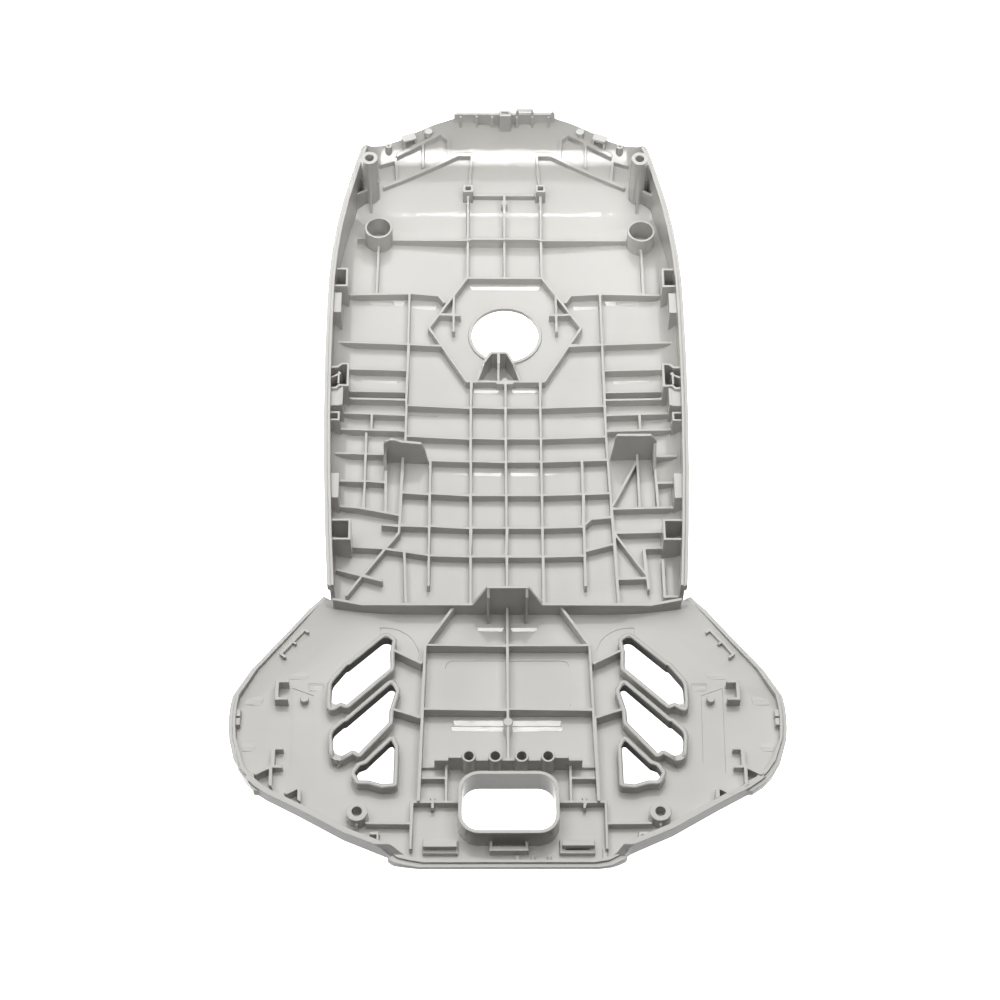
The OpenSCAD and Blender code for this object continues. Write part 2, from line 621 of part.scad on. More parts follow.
// Small features on the wings
module hook(low, high, z) translate([0, 0, 3]) linear_extrude(z - 3) difference() {
    translate(low) square(high - low);
    translate([low.x - 1, low.y + 1.5]) square([high.x - low.x - 0.8, high.y - low.y - 2.8]);
}
module wing_pocket(corner_p, foot, side) on_floor(6) {
    path([foot, corner_p], 1.6);
    path([corner_p, side], 1.4);
}
module wing_details() mirrored() {
    hook([wing_x(18.4), -139.9], [wing_x(24.8), -129.2], wing_rim_z + 0.2);
    hook([wing_x(19.6), -174.9], [wing_x(25), -164.2], wing_rim_z - 1.6);
    wing_pocket([wing_x(24.8), -175.3], [wing_x(24.7), -186.6], [wing_x(32.8), -179.8]);
    wing_pocket([wing_x(11.2), -185.6], [wing_x(11), -194.4], [wing_x(18.2), -189.6]);
    on_floor(4.4) difference() {
        translate([59.6, -211.4]) square([4.4, 4.6]);
        translate([60.8, -211.6]) square([3.4, 3.2]);
    }
    translate([wing_x(10.9), -137.2, 3]) cylinder(r = 2, h = 4.6);
    intersection() {
        linear_extrude(wing_rim_z - 0.6) {
            path([[wing_x(10.4), -102.4], [wing_x(12.2), -100.8], [wing_x(23), -114.2], [wing_x(21), -115.8]], 1.1);
            strip([wing_x(17.4), -107.6], [wing_x(16), -108.8], 1.1);
        }
        base_body(wall_t / 2);
    }
    for (y = [-152.4, -147.8]) translate([wing_x(40.6), y, 3]) cube([2.8, 3.8, wing_rim_z - 4.4]);
}

module rear_housing() color([0.8, 0.79, 0.77]) difference() {
    union() {
        shell();
        floor_ribs();
        waist_wall();
        tube_wall_rib();
        baffles();
        collar();
        stop();
        cross_rib();
        square_boxes();
        slot_wall();
        vent_walls();
        guide_tubes();
        snap_boxes();
        wall_tabs();
        neck_wall();
        neck_details();
        wing_details();
        for (side = [-1, 1]) {
            upper_boss(side);
            lower_boss(side);
        }
        for (p = tube_places) socket_tube(p);
    }
    translate([0, hole_y, -1]) cylinder(r = hole_r, h = tall);
    translate([0, hole_y, -1]) cylinder(r = hole_r + 1, h = 1 + wall_t / 2);
    translate([0, 0, -1]) linear_extrude(tall) polygon(slot_outline);
    vent_holes();
    for (side = [-1, 1]) {
        boss_bore(side * upper_boss_span / 2, upper_boss_y, upper_boss_z, 20, screw_r);
        boss_bore(side * lower_boss_span / 2, lower_boss_y, lower_boss_z, 7, screw_r);
    }
    for (i = [-1.5 : 1 : 1.5]) boss_bore(i * guide_pitch, guide_y, guide_z, guide_z - wall_t - 0.4, guide_hole_r);
    for (p = tube_places) boss_bore(p.x, p.y, tube_z, tube_z - wall_t - 1.6, tube_r - tube_wall);
}

translate([0, shift_y, 0]) rear_housing();
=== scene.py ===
import bmesh
import bpy
import math
from mathutils import Matrix, Vector
from mathutils.bvhtree import BVHTree


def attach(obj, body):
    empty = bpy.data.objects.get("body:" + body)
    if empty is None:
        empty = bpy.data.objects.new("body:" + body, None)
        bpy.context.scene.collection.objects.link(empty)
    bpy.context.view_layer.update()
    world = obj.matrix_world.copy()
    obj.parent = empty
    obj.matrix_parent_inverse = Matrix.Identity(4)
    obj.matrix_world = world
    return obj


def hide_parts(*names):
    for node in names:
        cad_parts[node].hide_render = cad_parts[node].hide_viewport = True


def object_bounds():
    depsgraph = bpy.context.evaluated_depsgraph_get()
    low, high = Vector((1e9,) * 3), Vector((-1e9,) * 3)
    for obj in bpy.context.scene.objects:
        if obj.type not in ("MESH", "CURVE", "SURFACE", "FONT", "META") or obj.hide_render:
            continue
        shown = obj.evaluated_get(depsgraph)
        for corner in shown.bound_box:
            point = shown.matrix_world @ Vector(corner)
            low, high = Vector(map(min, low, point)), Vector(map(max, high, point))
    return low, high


MM = 0.001

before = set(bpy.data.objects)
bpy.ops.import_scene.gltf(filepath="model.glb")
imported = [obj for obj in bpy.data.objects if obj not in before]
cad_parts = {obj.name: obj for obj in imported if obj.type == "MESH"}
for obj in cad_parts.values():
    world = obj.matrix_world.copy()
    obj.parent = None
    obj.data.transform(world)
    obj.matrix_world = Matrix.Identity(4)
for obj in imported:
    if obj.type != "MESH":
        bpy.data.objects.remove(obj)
cad_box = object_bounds()


def linear(hex_colour):
    """sRGB hex to linear red, green, blue and alpha."""
    steps = [int(hex_colour[i:i + 2], 16) / 255 for i in (1, 3, 5)]
    return tuple(c / 12.92 if c <= 0.04045 else ((c + 0.055) / 1.055) ** 2.4 for c in steps) + (1.0,)


def add_node(tree, kind, inputs=(), links=(), **settings):
    """One node with its settings, its socket values and its incoming links."""
    node = tree.nodes.new(kind)
    for name, value in settings.items():
        setattr(node, name, value)
    for name, value in dict(inputs).items():
        node.inputs[name].default_value = value
    for name, source in dict(links).items():
        tree.links.new(source, node.inputs[name])
    return node


# Camera of the photograph: its pinhole was fitted to the holes, the bosses and the rims
CAMERA_MM = (-15.4, -661.9, 968.0)
PITCH = math.radians(56.0)
YAW = math.radians(1.302)
ROLL = math.radians(-1.157)
FOCAL_PX = 2300.0
FRAME_PX = 1000.0
AXIS_PX = 505.0
SENSOR_MM = 36.0
NEAREST = 0.05
FARTHEST = 20.0


def photo_camera():
    """The camera at the photograph's place, with its small roll and side shift."""
    level = math.cos(PITCH)
    forward = Vector((math.sin(YAW) * level, math.cos(YAW) * level, -math.sin(PITCH)))
    right = Vector((math.cos(YAW), -math.sin(YAW), 0.0))
    down = forward.cross(right)
    across = right * math.cos(ROLL) + down * math.sin(ROLL)
    below = down * math.cos(ROLL) - right * math.sin(ROLL)
    turn = Matrix((across, -below, -forward)).transposed().to_4x4()
    data = bpy.data.cameras.new("photo_camera")
    data.sensor_fit = "HORIZONTAL"
    data.sensor_width = SENSOR_MM
    data.lens = FOCAL_PX / FRAME_PX * SENSOR_MM
    data.shift_x = (FRAME_PX / 2 - AXIS_PX) / FRAME_PX
    data.clip_start = NEAREST
    data.clip_end = FARTHEST
    camera = bpy.data.objects.new("photo_camera", data)
    camera.matrix_world = Matrix.Translation(Vector(CAMERA_MM) * MM) @ turn
    bpy.context.scene.collection.objects.link(camera)
    bpy.context.scene.camera = camera


photo_camera()


# Studio: a white table, one large overhead softbox, three small gridded softboxes on the camera's side that
# light the neck, a narrow lamp overhead that makes the bright bars, and a weak softbox at the left
TABLE_REACH = 3.0
TABLE_GLOW = 1.2
TABLE_GAP = 0.2 * MM


def white_floor():
    """A matt white table top that stays white round the part and gives it no diffuse light."""
    material = bpy.data.materials.new("matt_white_table")
    material.use_nodes = True
    tree = material.node_tree
    shader = tree.nodes["Principled BSDF"]
    shader.inputs["Base Color"].default_value = linear("#FAFAFA")
    shader.inputs["Roughness"].default_value = 1.0
    shader.inputs["Specular IOR Level"].default_value = 0.0
    shader.inputs["Emission Color"].default_value = linear("#FFFFFF")
    shader.inputs["Emission Strength"].default_value = TABLE_GLOW
    mesh = bpy.data.meshes.new("table_top")
    corners = [(x * TABLE_REACH, y * TABLE_REACH, 0) for x, y in ((-1, -1), (1, -1), (1, 1), (-1, 1))]
    mesh.from_pydata(corners, [], [(0, 1, 2, 3)])
    mesh.materials.append(material)
    table = bpy.data.objects.new("table_top", mesh)
    table.location.z = cad_box[0][2] - TABLE_GAP
    table.visible_diffuse = False
    bpy.context.scene.collection.objects.link(table)


# The table right under the part lies in its shadow, and the vents' walls mirror that. These cards stand for
# it, and the camera doesn't see them. Their spans of x and y are in mm
SHADE_CARDS = (((-90, -50), (-180, -86)), ((50, 90), (-180, -86)))
CARD_GAP = 0.1 * MM


def shade_cards():
    """Dark matt cards on the table, under the vents."""
    material = bpy.data.materials.new("table_in_shadow")
    material.use_nodes = True
    shader = material.node_tree.nodes["Principled BSDF"]
    shader.inputs["Base Color"].default_value = linear("#303030")
    shader.inputs["Roughness"].default_value = 1.0
    for number, ((x0, x1), (y0, y1)) in enumerate(SHADE_CARDS):
        mesh = bpy.data.meshes.new(f"shade_card_{number}")
        corners = [(x0, y0, 0), (x1, y0, 0), (x1, y1, 0), (x0, y1, 0)]
        mesh.from_pydata([Vector(c) * MM for c in corners], [], [(0, 1, 2, 3)])
        mesh.materials.append(material)
        card = bpy.data.objects.new(f"shade_card_{number}", mesh)
        card.location.z = cad_box[0][2] - CARD_GAP
        card.visible_camera = False
        bpy.context.scene.collection.objects.link(card)


def softbox(name, place, aim, width, depth, watts, spread):
    """A rectangular area light that faces a point, with a grid that limits its spread in degrees."""
    data = bpy.data.lights.new(name, "AREA")
    data.shape = "RECTANGLE"
    data.size = width
    data.size_y = depth
    data.energy = watts
    data.spread = math.radians(spread)
    light = bpy.data.objects.new(name, data)
    light.location = place
    beam = Vector(aim) - Vector(place)
    light.rotation_euler = beam.to_track_quat("-Z", "Y").to_euler()
    bpy.context.scene.collection.objects.link(light)


def studio_world(strength):
    """Even, weak light from the rest of the room."""
    world = bpy.data.worlds.new("pale_studio")
    world.use_nodes = True
    background = world.node_tree.nodes["Background"]
    background.inputs["Color"].default_value = linear("#FFFFFF")
    background.inputs["Strength"].default_value = strength
    bpy.context.scene.world = world


white_floor()
shade_cards()
# Each light has its place, its aim, its width and depth in metres, its watts and the spread of its grid
softbox("overhead_softbox", (0.0, 0.5, 1.6), (0.0, 0.4, 0.0), 2.0, 2.5, 34.0, 180)
softbox("front_softbox", (0.0, -0.8, 0.88), (0.0, 0.22, 0.04), 0.35, 0.3, 0.05, 18)
softbox("front_left_softbox", (-0.8, -0.55, 1.0), (0.0, 0.25, 0.06), 0.35, 0.25, 0.035, 12)
softbox("front_right_softbox", (0.8, -0.55, 1.0), (0.0, 0.25, 0.06), 0.35, 0.25, 0.035, 12)
softbox("bar_lamp", (0.02, 0.15, 1.5), (0.02, 0.14, 0.0), 0.23, 0.06, 0.34, 180)
softbox("side_softbox", (-1.6, 0.1, 0.35), (0.0, 0.0, 0.0), 0.6, 0.5, 6.0, 180)
studio_world(0.04)

# The photograph's tones: a plain curve with a little more contrast
bpy.context.scene.view_settings.view_transform = "Standard"
bpy.context.scene.view_settings.look = "Medium High Contrast"


# Injection moulded ABS: an opaque light warm grey with a satin to gloss skin and soft reflections
ABS_IOR = 1.53
NOISE_LOW = 0.3
NOISE_HIGH = 0.7
SMOOTHEST = 0.06
ROUGHEST = 0.1
CLOUD_WIDTH = 40 * MM
POLISH_WIDTH = 15 * MM
WAVE_WIDTH = 5 * MM
WAVE_DEPTH = 0.06 * MM
GRAIN_WIDTH = 0.7 * MM
GRAIN_DEPTH = 0.004 * MM


def moulded_abs():
    """The plastic of the whole moulding."""
    material = bpy.data.materials.new("abs_injection_moulded_warm_grey")
    material.use_nodes = True
    tree = material.node_tree
    shader = tree.nodes["Principled BSDF"]
    shader.inputs["IOR"].default_value = ABS_IOR
    place = add_node(tree, "ShaderNodeTexCoord").outputs["Object"]

    # Flow clouds, about 40 mm across, are a shade lighter or darker where the melt cooled
    clouds = add_node(tree, "ShaderNodeTexNoise", {"Scale": 1 / CLOUD_WIDTH, "Detail": 2.0},
                      {"Vector": place})
    colour = add_node(tree, "ShaderNodeValToRGB", (), {"Fac": clouds.outputs["Fac"]})
    colour.color_ramp.elements[0].position = NOISE_LOW
    colour.color_ramp.elements[0].color = linear("#C1C0BC")
    colour.color_ramp.elements[1].position = NOISE_HIGH
    colour.color_ramp.elements[1].color = linear("#C5C4C0")
    tree.links.new(colour.outputs["Color"], shader.inputs["Base Color"])

    # The polish of the mould changes over about 15 mm, so the gloss does too
    polish = add_node(tree, "ShaderNodeTexNoise", {"Scale": 1 / POLISH_WIDTH, "Detail": 3.0},
                      {"Vector": place})
    span = {"From Min": NOISE_LOW, "From Max": NOISE_HIGH, "To Min": SMOOTHEST, "To Max": ROUGHEST}
    gloss = add_node(tree, "ShaderNodeMapRange", span, {"Value": polish.outputs["Fac"]})
    tree.links.new(gloss.outputs["Result"], shader.inputs["Roughness"])

    # Machined grain of the mould is under 0.1 mm and is drawn 0.7 mm wide to show, over 5 mm sink waves
    grain = add_node(tree, "ShaderNodeTexNoise", {"Scale": 1 / GRAIN_WIDTH, "Detail": 2.0},
                     {"Vector": place})
    waves = add_node(tree, "ShaderNodeTexNoise", {"Scale": 1 / WAVE_WIDTH, "Detail": 1.0},
                     {"Vector": place})
    ripple = add_node(tree, "ShaderNodeBump", {"Strength": 1.0, "Distance": WAVE_DEPTH},
                      {"Height": waves.outputs["Fac"]})
    skin = add_node(tree, "ShaderNodeBump", {"Strength": 1.0, "Distance": GRAIN_DEPTH},
                    {"Height": grain.outputs["Fac"], "Normal": ripple.outputs["Normal"]})
    tree.links.new(skin.outputs["Normal"], shader.inputs["Normal"])
    return material


ABS = moulded_abs()


# The moulding itself: the CAD solid's faces with the edges eased, as a polished mould leaves them. An edge
# is eased where it is sharp and long enough, and where the easings round its faces leave each other room
EDGE_EASE = 0.3 * MM
EASE_STEPS = 2
SHARP_TURN = math.radians(30)
SHORTEST_EASED = EDGE_EASE / 12
SMALLEST_ANGLE = 0.2
SPARE_ROOM = 1.05
ROOM_ROUNDS = 12
FOLD_AREA = (0.1 * MM) ** 2
TINY_CROSS = 1e-16
TINY_SQUARE = 1e-18


def inner_angle(normal, before, at, after):
    """Angle inside a face at one of its corners, over half a turn where the outline bends inwards."""
    a = before - at
    b = after - at
    angle = a.angle(b, 0.0)
    return 2 * math.pi - angle if a.cross(b).dot(normal) > 0 else angle


def edges_with_room(work):
    """The sharp edges whose easing fits beside their neighbours, by index."""
    eased = {e for e in work.edges if len(e.link_faces) == 2 and e.calc_face_angle(0.0) > SHARP_TURN
             and e.calc_length() > SHORTEST_EASED}
    outlines = []
    for face in work.faces:
        edges = [loop.edge for loop in face.loops]
        places = [loop.vert.co for loop in face.loops]
        count = len(places)
        angles = [inner_angle(face.normal, places[i - 1], places[i], places[(i + 1) % count])
                  for i in range(count)]
        outlines.append((edges, [edge.calc_length() for edge in edges], angles))
    for _ in range(ROOM_ROUNDS):
        tight = set()
        for edges, lengths, angles in outlines:
            count = len(edges)
            for i in range(count):
                ends = ((edges[i - 1], angles[i]), (edges[(i + 1) % count], angles[(i + 1) % count]))
                both = edges[i] in eased
                need = 0.0
                for other, angle in ends:
                    if other in eased and both:
                        held = min(max(angle, SMALLEST_ANGLE), 2 * math.pi - SMALLEST_ANGLE)
                        need += EDGE_EASE / math.tan(held / 2)
                    elif other in eased:
                        need += EDGE_EASE / max(SMALLEST_ANGLE, abs(math.sin(angle)))
                if need * SPARE_ROOM > lengths[i]:
                    near = [ends[0][0], ends[1][0]] + ([edges[i]] if both else [])
                    near = [e for e in near if e in eased]
                    if near:
                        tight.add(min(near, key=lambda e: (e.calc_length(), e.index)))
        eased -= tight
        if not tight:
            break
    return {e.index for e in eased}


def folded_faces(work):
    """Faces that turn over on themselves somewhere."""
    folded = {}
    for loops in work.calc_loop_triangles():
        a, b, c = (loop.vert.co for loop in loops)
        turn = (b - a).cross(c - a)
        face = loops[0].face
        if turn.dot(face.normal) < 0 and turn.length / 2 > FOLD_AREA:
            folded[face.index] = face
    return folded.values()


def crossings(face):
    """Points where a face's outline crosses itself."""
    across = face.normal.orthogonal().normalized()
    along = face.normal.cross(across)
    start = face.loops[0].vert.co
    reaches = [loop.vert.co - start for loop in face.loops]
    flat = [Vector((reach.dot(across), reach.dot(along))) for reach in reaches]
    count = len(flat)
    found = []
    for i in range(count):
        for j in range(i + 2, count - (i == 0)):
            a, b, c, d = flat[i], flat[(i + 1) % count], flat[j], flat[(j + 1) % count]
            if max(a.x, b.x) < min(c.x, d.x) or max(c.x, d.x) < min(a.x, b.x):
                continue
            if max(a.y, b.y) < min(c.y, d.y) or max(c.y, d.y) < min(a.y, b.y):
                continue
            first = b - a
            second = d - c
            slope = first.x * second.y - first.y * second.x
            if abs(slope) < TINY_CROSS:
                continue
            gap = c - a
            t = (gap.x * second.y - gap.y * second.x) / slope
            u = (gap.x * first.y - gap.y * first.x) / slope
            if 0 <= t <= 1 and 0 <= u <= 1:
                found.append(start + across * (a.x + t * first.x) + along * (a.y + t * first.y))
    return found


def reach_of(edge, point):
    """Distance from an edge to a point."""
    a, b = (v.co for v in edge.verts)
    along = b - a
    t = max(0.0, min(1.0, (point - a).dot(along) / max(along.length_squared, TINY_SQUARE)))
    return (a + along * t - point).length


# The curved back is cut into narrow flats in the solid, and its true curves come back through the normals.
# Lengths are in mm, and y is measured from the drawing's middle, which lies at DRAWN_Y in the frame. A row
# of FLAT_TILTS has the distance from the middle line where a flat ends, and its tilt in degrees. A row of
# TRUE_TILTS has such a distance, and the smooth section's tilt there
DRAWN_Y = 9.1
CURL_Y = 140.0
CURL_R = 75.0
WAIST_Y = -87.4
CORNER_X = 76.7
CORNER_R = 15.0
FLAT_TILTS = ((18.0, 0.0), (55.0, 3.07), (78.0, 2.79), (80.6, 13.2), (84.2, 22.5), (87.3, 37.5),
              (89.7, 52.5))
TRUE_TILTS = ((0.0, 0.0), (9.0, 0.0), (36.5, 3.07), (66.5, 2.79), (78.0, 8.0), (80.6, 15.0))
STEEPEST_BACK = 0.4
LEVEL_SLACK = 0.004
DISH_SLACK = 0.012
CURL_SLACK = math.cos(math.radians(5))
ALIKE = math.cos(math.radians(48))
TINY_WEIGHT = 1e-9


def flat_tilt(x):
    """Tilt of the solid's flat at this distance from the middle line, in degrees."""
    for end, tilt in FLAT_TILTS:
        if abs(x) < end:
            return tilt
    return None


def true_tilt(x):
    """Tilt of the smooth section at this distance from the middle line, in degrees."""
    x = abs(x)
    if x >= TRUE_TILTS[-1][0]:
        return math.degrees(math.asin(min(1.0, (x - CORNER_X) / CORNER_R)))
    for (a, low), (b, high) in zip(TRUE_TILTS, TRUE_TILTS[1:]):
        if x <= b:
            return low + (high - low) * (x - a) / (b - a)


def back_kind(normal, centre):
    """Which of the back's curves a face belongs to, if any."""
    x, y, z = centre / MM
    y -= DRAWN_Y
    if y < WAIST_Y or abs(normal.z) < STEEPEST_BACK:
        return None
    if abs(normal.x) < LEVEL_SLACK and y > CURL_Y:
        true = Vector((0, CURL_Y - y, CURL_R - z)).normalized() * math.copysign(1, normal.z)
        return "curl" if true.dot(normal) > CURL_SLACK else None
    tilt = flat_tilt(x)
    if tilt is None or abs(normal.y) > LEVEL_SLACK:
        return None
    lean = -math.copysign(math.sin(math.radians(tilt)), x) * math.copysign(1, normal.z)
    return "dish" if abs(normal.x - lean) < DISH_SLACK else None


def back_normal(kind, normal, place):
    """Normal of the smooth back at a corner of such a face."""
    x, y, z = place / MM
    up = math.copysign(1, normal.z)
    if kind == "curl":
        return Vector((0, min(0.0, CURL_Y + DRAWN_Y - y), CURL_R - z)).normalized() * up
    tilt = math.radians(true_tilt(x))
    return Vector((-math.copysign(math.sin(tilt), x), 0, math.cos(tilt))) * up


def smooth_corners(mesh):
    """Sets each corner's normal: true curves on the back, flat faces flat, eased edges round."""
    kinds = [back_kind(face.normal, face.center) for face in mesh.polygons]
    at_vertex = [[] for _ in mesh.vertices]
    for face, kind in zip(mesh.polygons, kinds):
        for v in face.vertices:
            place = mesh.vertices[v].co
            normal = face.normal.copy() if kind is None else back_normal(kind, face.normal, place)
            at_vertex[v].append((face.index, normal, normal * (face.area + TINY_WEIGHT)))
    normals = [None] * len(mesh.loops)
    for face, kind in zip(mesh.polygons, kinds):
        for loop in face.loop_indices:
            near = at_vertex[mesh.loops[loop].vertex_index]
            own = next(normal for index, normal, _ in near if index == face.index)
            if kind is not None:
                normals[loop] = own
                continue
            total = Vector((0, 0, 0))
            for _, normal, weighed in near:
                if own.dot(normal) > ALIKE:
                    total += weighed
            normals[loop] = total.normalized()
    mesh.normals_split_custom_set(normals)


# Vertices and flat neighbours of the solid merge first. An easing that still folds a face over itself is
# taken back near the fold, a little further with each try
MERGE_REACH = 0.002 * MM
FLAT_TURN = math.radians(0.6)
TRIES = 5
FIRST_REACH = 0.7
MORE_REACH = 0.5


def eased_moulding():
    """The whole moulding as one mesh with eased edges."""
    base = bmesh.new()
    base.from_mesh(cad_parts["rear_housing"].data)
    bmesh.ops.remove_doubles(base, verts=base.verts, dist=MERGE_REACH)
    bmesh.ops.dissolve_limit(base, angle_limit=FLAT_TURN, verts=base.verts, edges=base.edges)
    base.normal_update()
    base.edges.index_update()
    base.edges.ensure_lookup_table()
    keep = edges_with_room(base)
    for attempt in range(TRIES):
        work = base.copy()
        work.edges.ensure_lookup_table()
        sharp = [work.edges[i] for i in sorted(keep)]
        bmesh.ops.bevel(work, geom=sharp, offset=EDGE_EASE, offset_type="OFFSET", segments=EASE_STEPS,
                        profile=0.5, affect="EDGES", clamp_overlap=False, loop_slide=True)
        work.normal_update()
        work.faces.index_update()
        points = [p for face in folded_faces(work) for p in crossings(face)]
        if not points or attempt == TRIES - 1:
            break
        reach = (FIRST_REACH + MORE_REACH * attempt) * MM
        keep -= {i for i in keep if any(reach_of(base.edges[i], p) < reach for p in points)}
        work.free()
    mesh = bpy.data.meshes.new("moulded_housing")
    work.to_mesh(mesh)
    work.free()
    base.free()
    mesh.shade_smooth()
    smooth_corners(mesh)
    return mesh


def add_piece(name, mesh):
    """A piece of the moulding that rides with it and has its plastic."""
    mesh.materials.append(ABS)
    piece = bpy.data.objects.new(name, mesh)
    bpy.context.scene.collection.objects.link(piece)
    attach(piece, "root")
    return piece


housing = add_piece("moulded_housing", eased_moulding())
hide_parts("rear_housing")


# Shallow ridges that the mould's inserts leave beside the ribs, in mm. Their front slopes catch the bar
# lamp: they lean by LEAN_AT_MIDDLE degrees and LEAN_PER_MM for each mm of y. Those that don't cross the
# middle line also lean sideways, by SIDE_LEAN_PER_MM for each mm from it. Each row has two x ends, the
# slope's y, its run and the back's run. The side rows are mirrored
LEAN_AT_MIDDLE = 14.2
LEAN_PER_MM = 0.0395
SIDE_LEAN_PER_MM = 0.0365
END_BEVEL = 0.8
LIFT = 0.04
SUNK = 0.7
MIDDLE_RIDGES = (
    # Under the hexagon's top side, and in the box of the base
    (-18.7, 19.1, 126.7, 2.0, 3.0),
    (-26.0, -1.6, -139.2, 2.6, 2.0),
    (1.6, 25.4, -139.2, 2.6, 2.0),
    (-27.0, -1.6, -142.4, 2.2, 0.6),
    (1.6, 26.4, -142.4, 2.2, 0.6),
    (-14.7, -1.6, -87.6, 1.8, 3.0),
    (1.6, 14.7, -87.6, 1.8, 3.0),
)
SIDE_RIDGES = (
    # Under the cross ribs beside the hexagon, and in the cells of the grid
    (59.9, 72.2, 114.0, 1.2, 3.0),
    (53.5, 59.9, 114.5, 2.4, 2.4),
    (36.3, 50.2, 112.0, 2.0, 3.0),
    (56.0, 76.0, 61.6, 1.8, 3.0),
    (3.3, 17.0, 57.4, 1.6, 3.0),
    (19.4, 36.0, 4.7, 1.2, 3.0),
    (2.0, 16.8, 4.7, 1.8, 3.0),
    # On the wings
    (116.5, 125.5, -129.3, 2.8, 3.0),
    (118.9, 125.5, -154.4, 2.2, 2.0),
    (95.8, 105.8, -115.3, 1.8, 2.0),
    (88.0, 95.5, -121.1, 2.4, 2.0),
)


# The solid's faces, in which a ray from ABOVE_ALL, in mm, finds the floor's height
ABOVE_ALL = 100.0
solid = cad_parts["rear_housing"].data
SOLID_TREE = BVHTree.FromPolygons([v.co.copy() for v in solid.vertices],
                                  [tuple(p.vertices) for p in solid.polygons])


def floor_height(x, y):
    """Height of the solid's topmost face at a place, in mm."""
    place, _, _, _ = SOLID_TREE.ray_cast(Vector((x, y, ABOVE_ALL)) * MM, Vector((0, 0, -1)))
    return place.z / MM


def ridge(x0, x1, y, run, back):
    """Corners of one ridge: front edge, crest and back edge, each from its lower x to its higher x."""
    rise = run * math.tan(math.radians(LEAN_AT_MIDDLE + LEAN_PER_MM * y))
    side_slope = math.tan(math.radians(SIDE_LEAN_PER_MM * abs(x0 + x1) / 2))
    inner = min(x0, x1, key=abs)
    base = floor_height(inner, y - run / 2) + LIFT
    level = [base if x0 * x1 < 0 else base + (abs(x) - abs(inner)) * side_slope for x in (x0, x1)]
    front = [(x0 + END_BEVEL, y - run / 2, level[0]), (x1 - END_BEVEL, y - run / 2, level[1])]
    crest = [(x0, y + run / 2, level[0] + rise), (x1, y + run / 2, level[1] + rise)]
    rear = [(x0, y + run / 2 + back, level[0]), (x1, y + run / 2 + back, level[1])]
    return front + crest + rear


def insert_ridges():
    """All the ridges as closed prisms that are sunk a little into the floor."""
    rows = list(MIDDLE_RIDGES)
    for x0, x1, *rest in SIDE_RIDGES:
        rows += [(x0, x1, *rest), (-x1, -x0, *rest)]
    tops = ((0, 1, 3, 2), (2, 3, 5, 4))
    sides = ((1, 0), (3, 1), (5, 3), (4, 5), (2, 4), (0, 2))
    points = []
    faces = []
    for row in rows:
        corners = ridge(*row)
        top = len(points)
        low = top + len(corners)
        points += [Vector(c) * MM for c in corners]
        points += [Vector((x, y, z - SUNK)) * MM for x, y, z in corners]
        faces += [tuple(top + k for k in face) for face in tops]
        faces += [(top + a, top + b, low + b, low + a) for a, b in sides]
        faces += [tuple(low + k for k in reversed(face)) for face in tops]
    mesh = bpy.data.meshes.new("insert_ridges")
    mesh.from_pydata(points, [], faces)
    return mesh


# Small forms that stand on the floor between the larger ribs, in mm: a cross rib at the neck and a bar on
# each foot pad, as spans of x, y and z, and two round hubs, as x, y, radius and top
NECK_RIB = ((-17.0, 16.5), (182.8, 184.2), (9.0, 14.0))
PAD_BARS = (((-39.4, -23.8), (-206.0, -203.2), (3.5, 8.6)), ((24.3, 39.4), (-205.4, -202.6), (3.5, 8.6)))
HUBS = ((0.0, 178.5, 1.9, 9.4), (0.0, -141.9, 2.3, 9.8))
HUB_DEPTH = 1.0
HUB_SIDES = 24


def small_ribs():
    """The cross rib, the bars and the hubs, with eased edges."""
    work = bmesh.new()
    for xs, ys, zs in (NECK_RIB,) + PAD_BARS:
        middle = [sum(span) / 2 * MM for span in (xs, ys, zs)]
        size = [abs(span[1] - span[0]) * MM for span in (xs, ys, zs)]
        box = bmesh.ops.create_cube(work, size=1.0)
        bmesh.ops.scale(work, vec=size, verts=box["verts"])
        bmesh.ops.translate(work, vec=middle, verts=box["verts"])
    for x, y, radius, top in HUBS:
        disc = bmesh.ops.create_cone(work, cap_ends=True, segments=HUB_SIDES, radius1=radius * MM,
                                     radius2=radius * MM, depth=HUB_DEPTH * MM)
        bmesh.ops.translate(work, vec=Vector((x, y, top - HUB_DEPTH / 2)) * MM, verts=disc["verts"])
    sharp = [e for e in work.edges if e.calc_face_angle(0.0) > SHARP_TURN]
    bmesh.ops.bevel(work, geom=sharp, offset=EDGE_EASE, offset_type="OFFSET", segments=EASE_STEPS,
                    profile=0.5, affect="EDGES")
    mesh = bpy.data.meshes.new("small_ribs")
    work.to_mesh(mesh)
    work.free()
    return mesh


# Round lips on the vents' collars, in mm. Each row has the corners of one left vent's outline: x, y from
# the drawing's middle, and the corner's radius. LIP_OUT moves the outline to the middle of the collar
VENTS = (
    ((-84, -144, 2.8), (-84, -130.5, 8.2), (-77, -120.6, 1.4), (-75.8, -120.2, 1.4),
     (-58.8, -103.6, 3.4), (-55.4, -106.4, 1.6), (-56.4, -112.6, 1.7), (-56, -121.6, 3.2),
     (-76.4, -142, 1.2), (-79.4, -140.8, 1.1)),
    ((-81.4, -172, 4.2), (-82.9, -157, 6.2), (-77.4, -151.2, 1.2), (-76, -150.8, 1.2),
     (-55.4, -129.8, 1.7), (-53.2, -134, 2.2), (-56, -144.6, 2.2), (-56.2, -151, 3.2),
     (-70, -167.8, 1.1), (-72.6, -165.8, 1.1)),
    ((-71.6, -178, 2.2), (-69.2, -174.2, 1.7), (-66.2, -173, 1.7), (-54.8, -160.4, 1.2),
     (-53.2, -164, 1.2), (-53.4, -183, 1.4), (-58.6, -183.6, 1.7), (-64.8, -181.8, 2.2),
     (-69.6, -181.8, 1.7)),
)
LIP_OUT = 0.95
LIP_RADIUS = 1.15
LIP_SUNK = 0.05
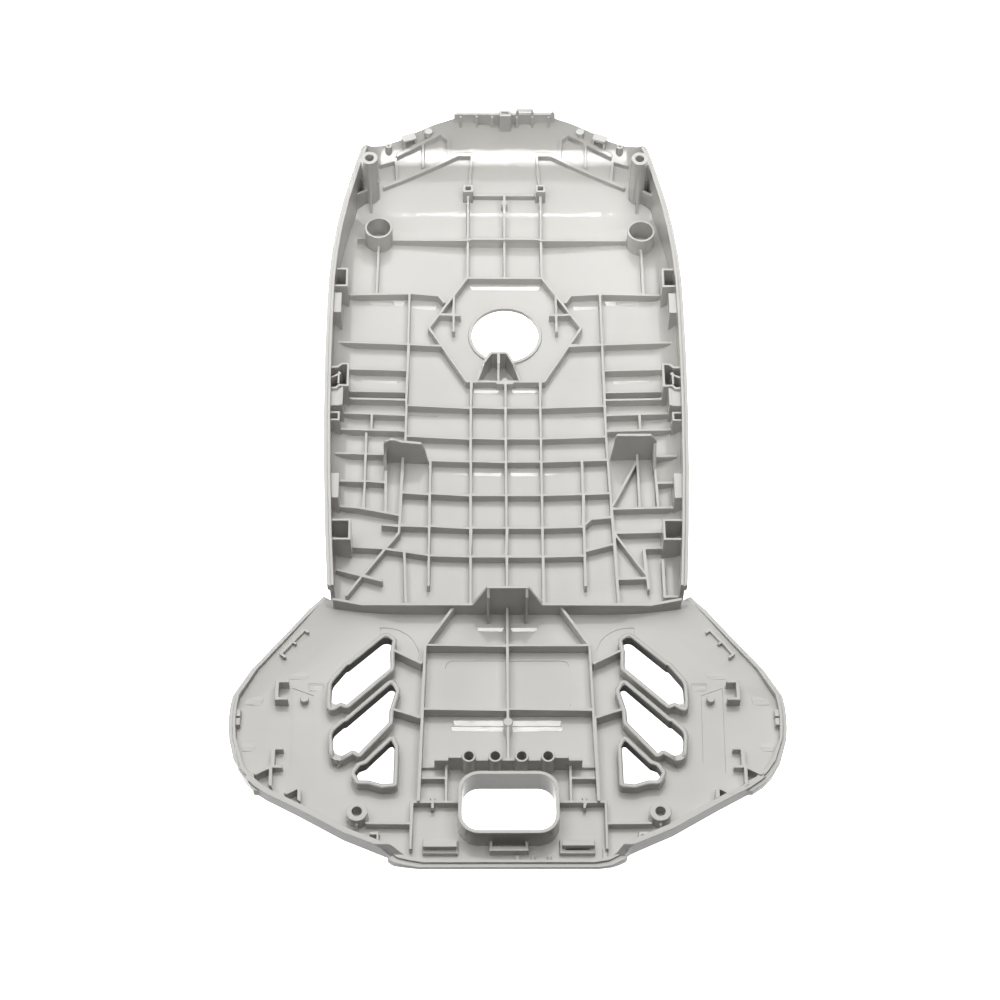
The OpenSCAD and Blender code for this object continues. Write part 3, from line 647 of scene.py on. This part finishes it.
LIP_FLATTEN = 0.6
BEAD_SIDES = 10
LONGEST_CUT = 0.45
CURVE_STEPS = (0.0, 0.25, 0.5, 0.75, 1.0)


def grown_outline(corners, out):
    """A closed outline moved outwards, for corners that run clockwise or anticlockwise."""
    points = [Vector(c) for c in corners]
    count = len(points)
    area = sum(points[i - 1].x * points[i].y - points[i].x * points[i - 1].y for i in range(count))
    side = math.copysign(1, area)
    moved = []
    for i in range(count):
        first = (points[i] - points[i - 1]).normalized()
        second = (points[(i + 1) % count] - points[i]).normalized()
        out_first = Vector((first.y, -first.x)) * side
        out_second = Vector((second.y, -second.x)) * side
        moved.append(points[i] + (out_first + out_second) * out / (1 + out_first.dot(out_second)))
    return moved


def round_corners(points, radii):
    """A closed outline with each corner replaced by a curve of about its radius."""
    count = len(points)
    curve = []
    for i in range(count):
        before, at, after = points[i - 1], points[i], points[(i + 1) % count]
        turn = (at - before).angle(after - at)
        cut = radii[i] * math.tan(turn / 2)
        start = at + (before - at).normalized() * min(cut, (before - at).length * LONGEST_CUT)
        end = at + (after - at).normalized() * min(cut, (after - at).length * LONGEST_CUT)
        curve += [start.lerp(at, t).lerp(at.lerp(end, t), t) for t in CURVE_STEPS]
    return curve


def add_bead(work, points):
    """A flattened bead round a closed line of places."""
    count = len(points)
    turns = [2 * math.pi * k / BEAD_SIDES for k in range(BEAD_SIDES)]
    up = Vector((0, 0, LIP_RADIUS * LIP_FLATTEN))
    rings = []
    for i in range(count):
        along = (points[(i + 1) % count] - points[i - 1]).normalized()
        across = along.cross(Vector((0, 0, 1))).normalized() * LIP_RADIUS
        ring = [points[i] + across * math.cos(t) + up * math.sin(t) for t in turns]
        rings.append([work.verts.new(place * MM) for place in ring])
    for i in range(count):
        a, b = rings[i - 1], rings[i]
        for k in range(BEAD_SIDES):
            n = (k + 1) % BEAD_SIDES
            work.faces.new((a[k], a[n], b[n], b[k]))


def vent_lips():
    """A lip on each of the six collars, left and right."""
    work = bmesh.new()
    for vent in VENTS:
        for flip in (1, -1):
            grown = grown_outline([(x * flip, y + DRAWN_Y) for x, y, _ in vent], LIP_OUT)
            outline = round_corners(grown, [radius for _, _, radius in vent])
            add_bead(work, [Vector((p.x, p.y, floor_height(p.x, p.y) - LIP_SUNK)) for p in outline])
    bmesh.ops.recalc_face_normals(work, faces=work.faces)
    mesh = bpy.data.meshes.new("vent_lips")
    work.to_mesh(mesh)
    work.free()
    mesh.shade_smooth()
    return mesh


add_piece("insert_ridges", insert_ridges())
add_piece("small_ribs", small_ribs())
add_piece("vent_lips", vent_lips())


# Bring the places of all pieces up to date
bpy.context.view_layer.update()
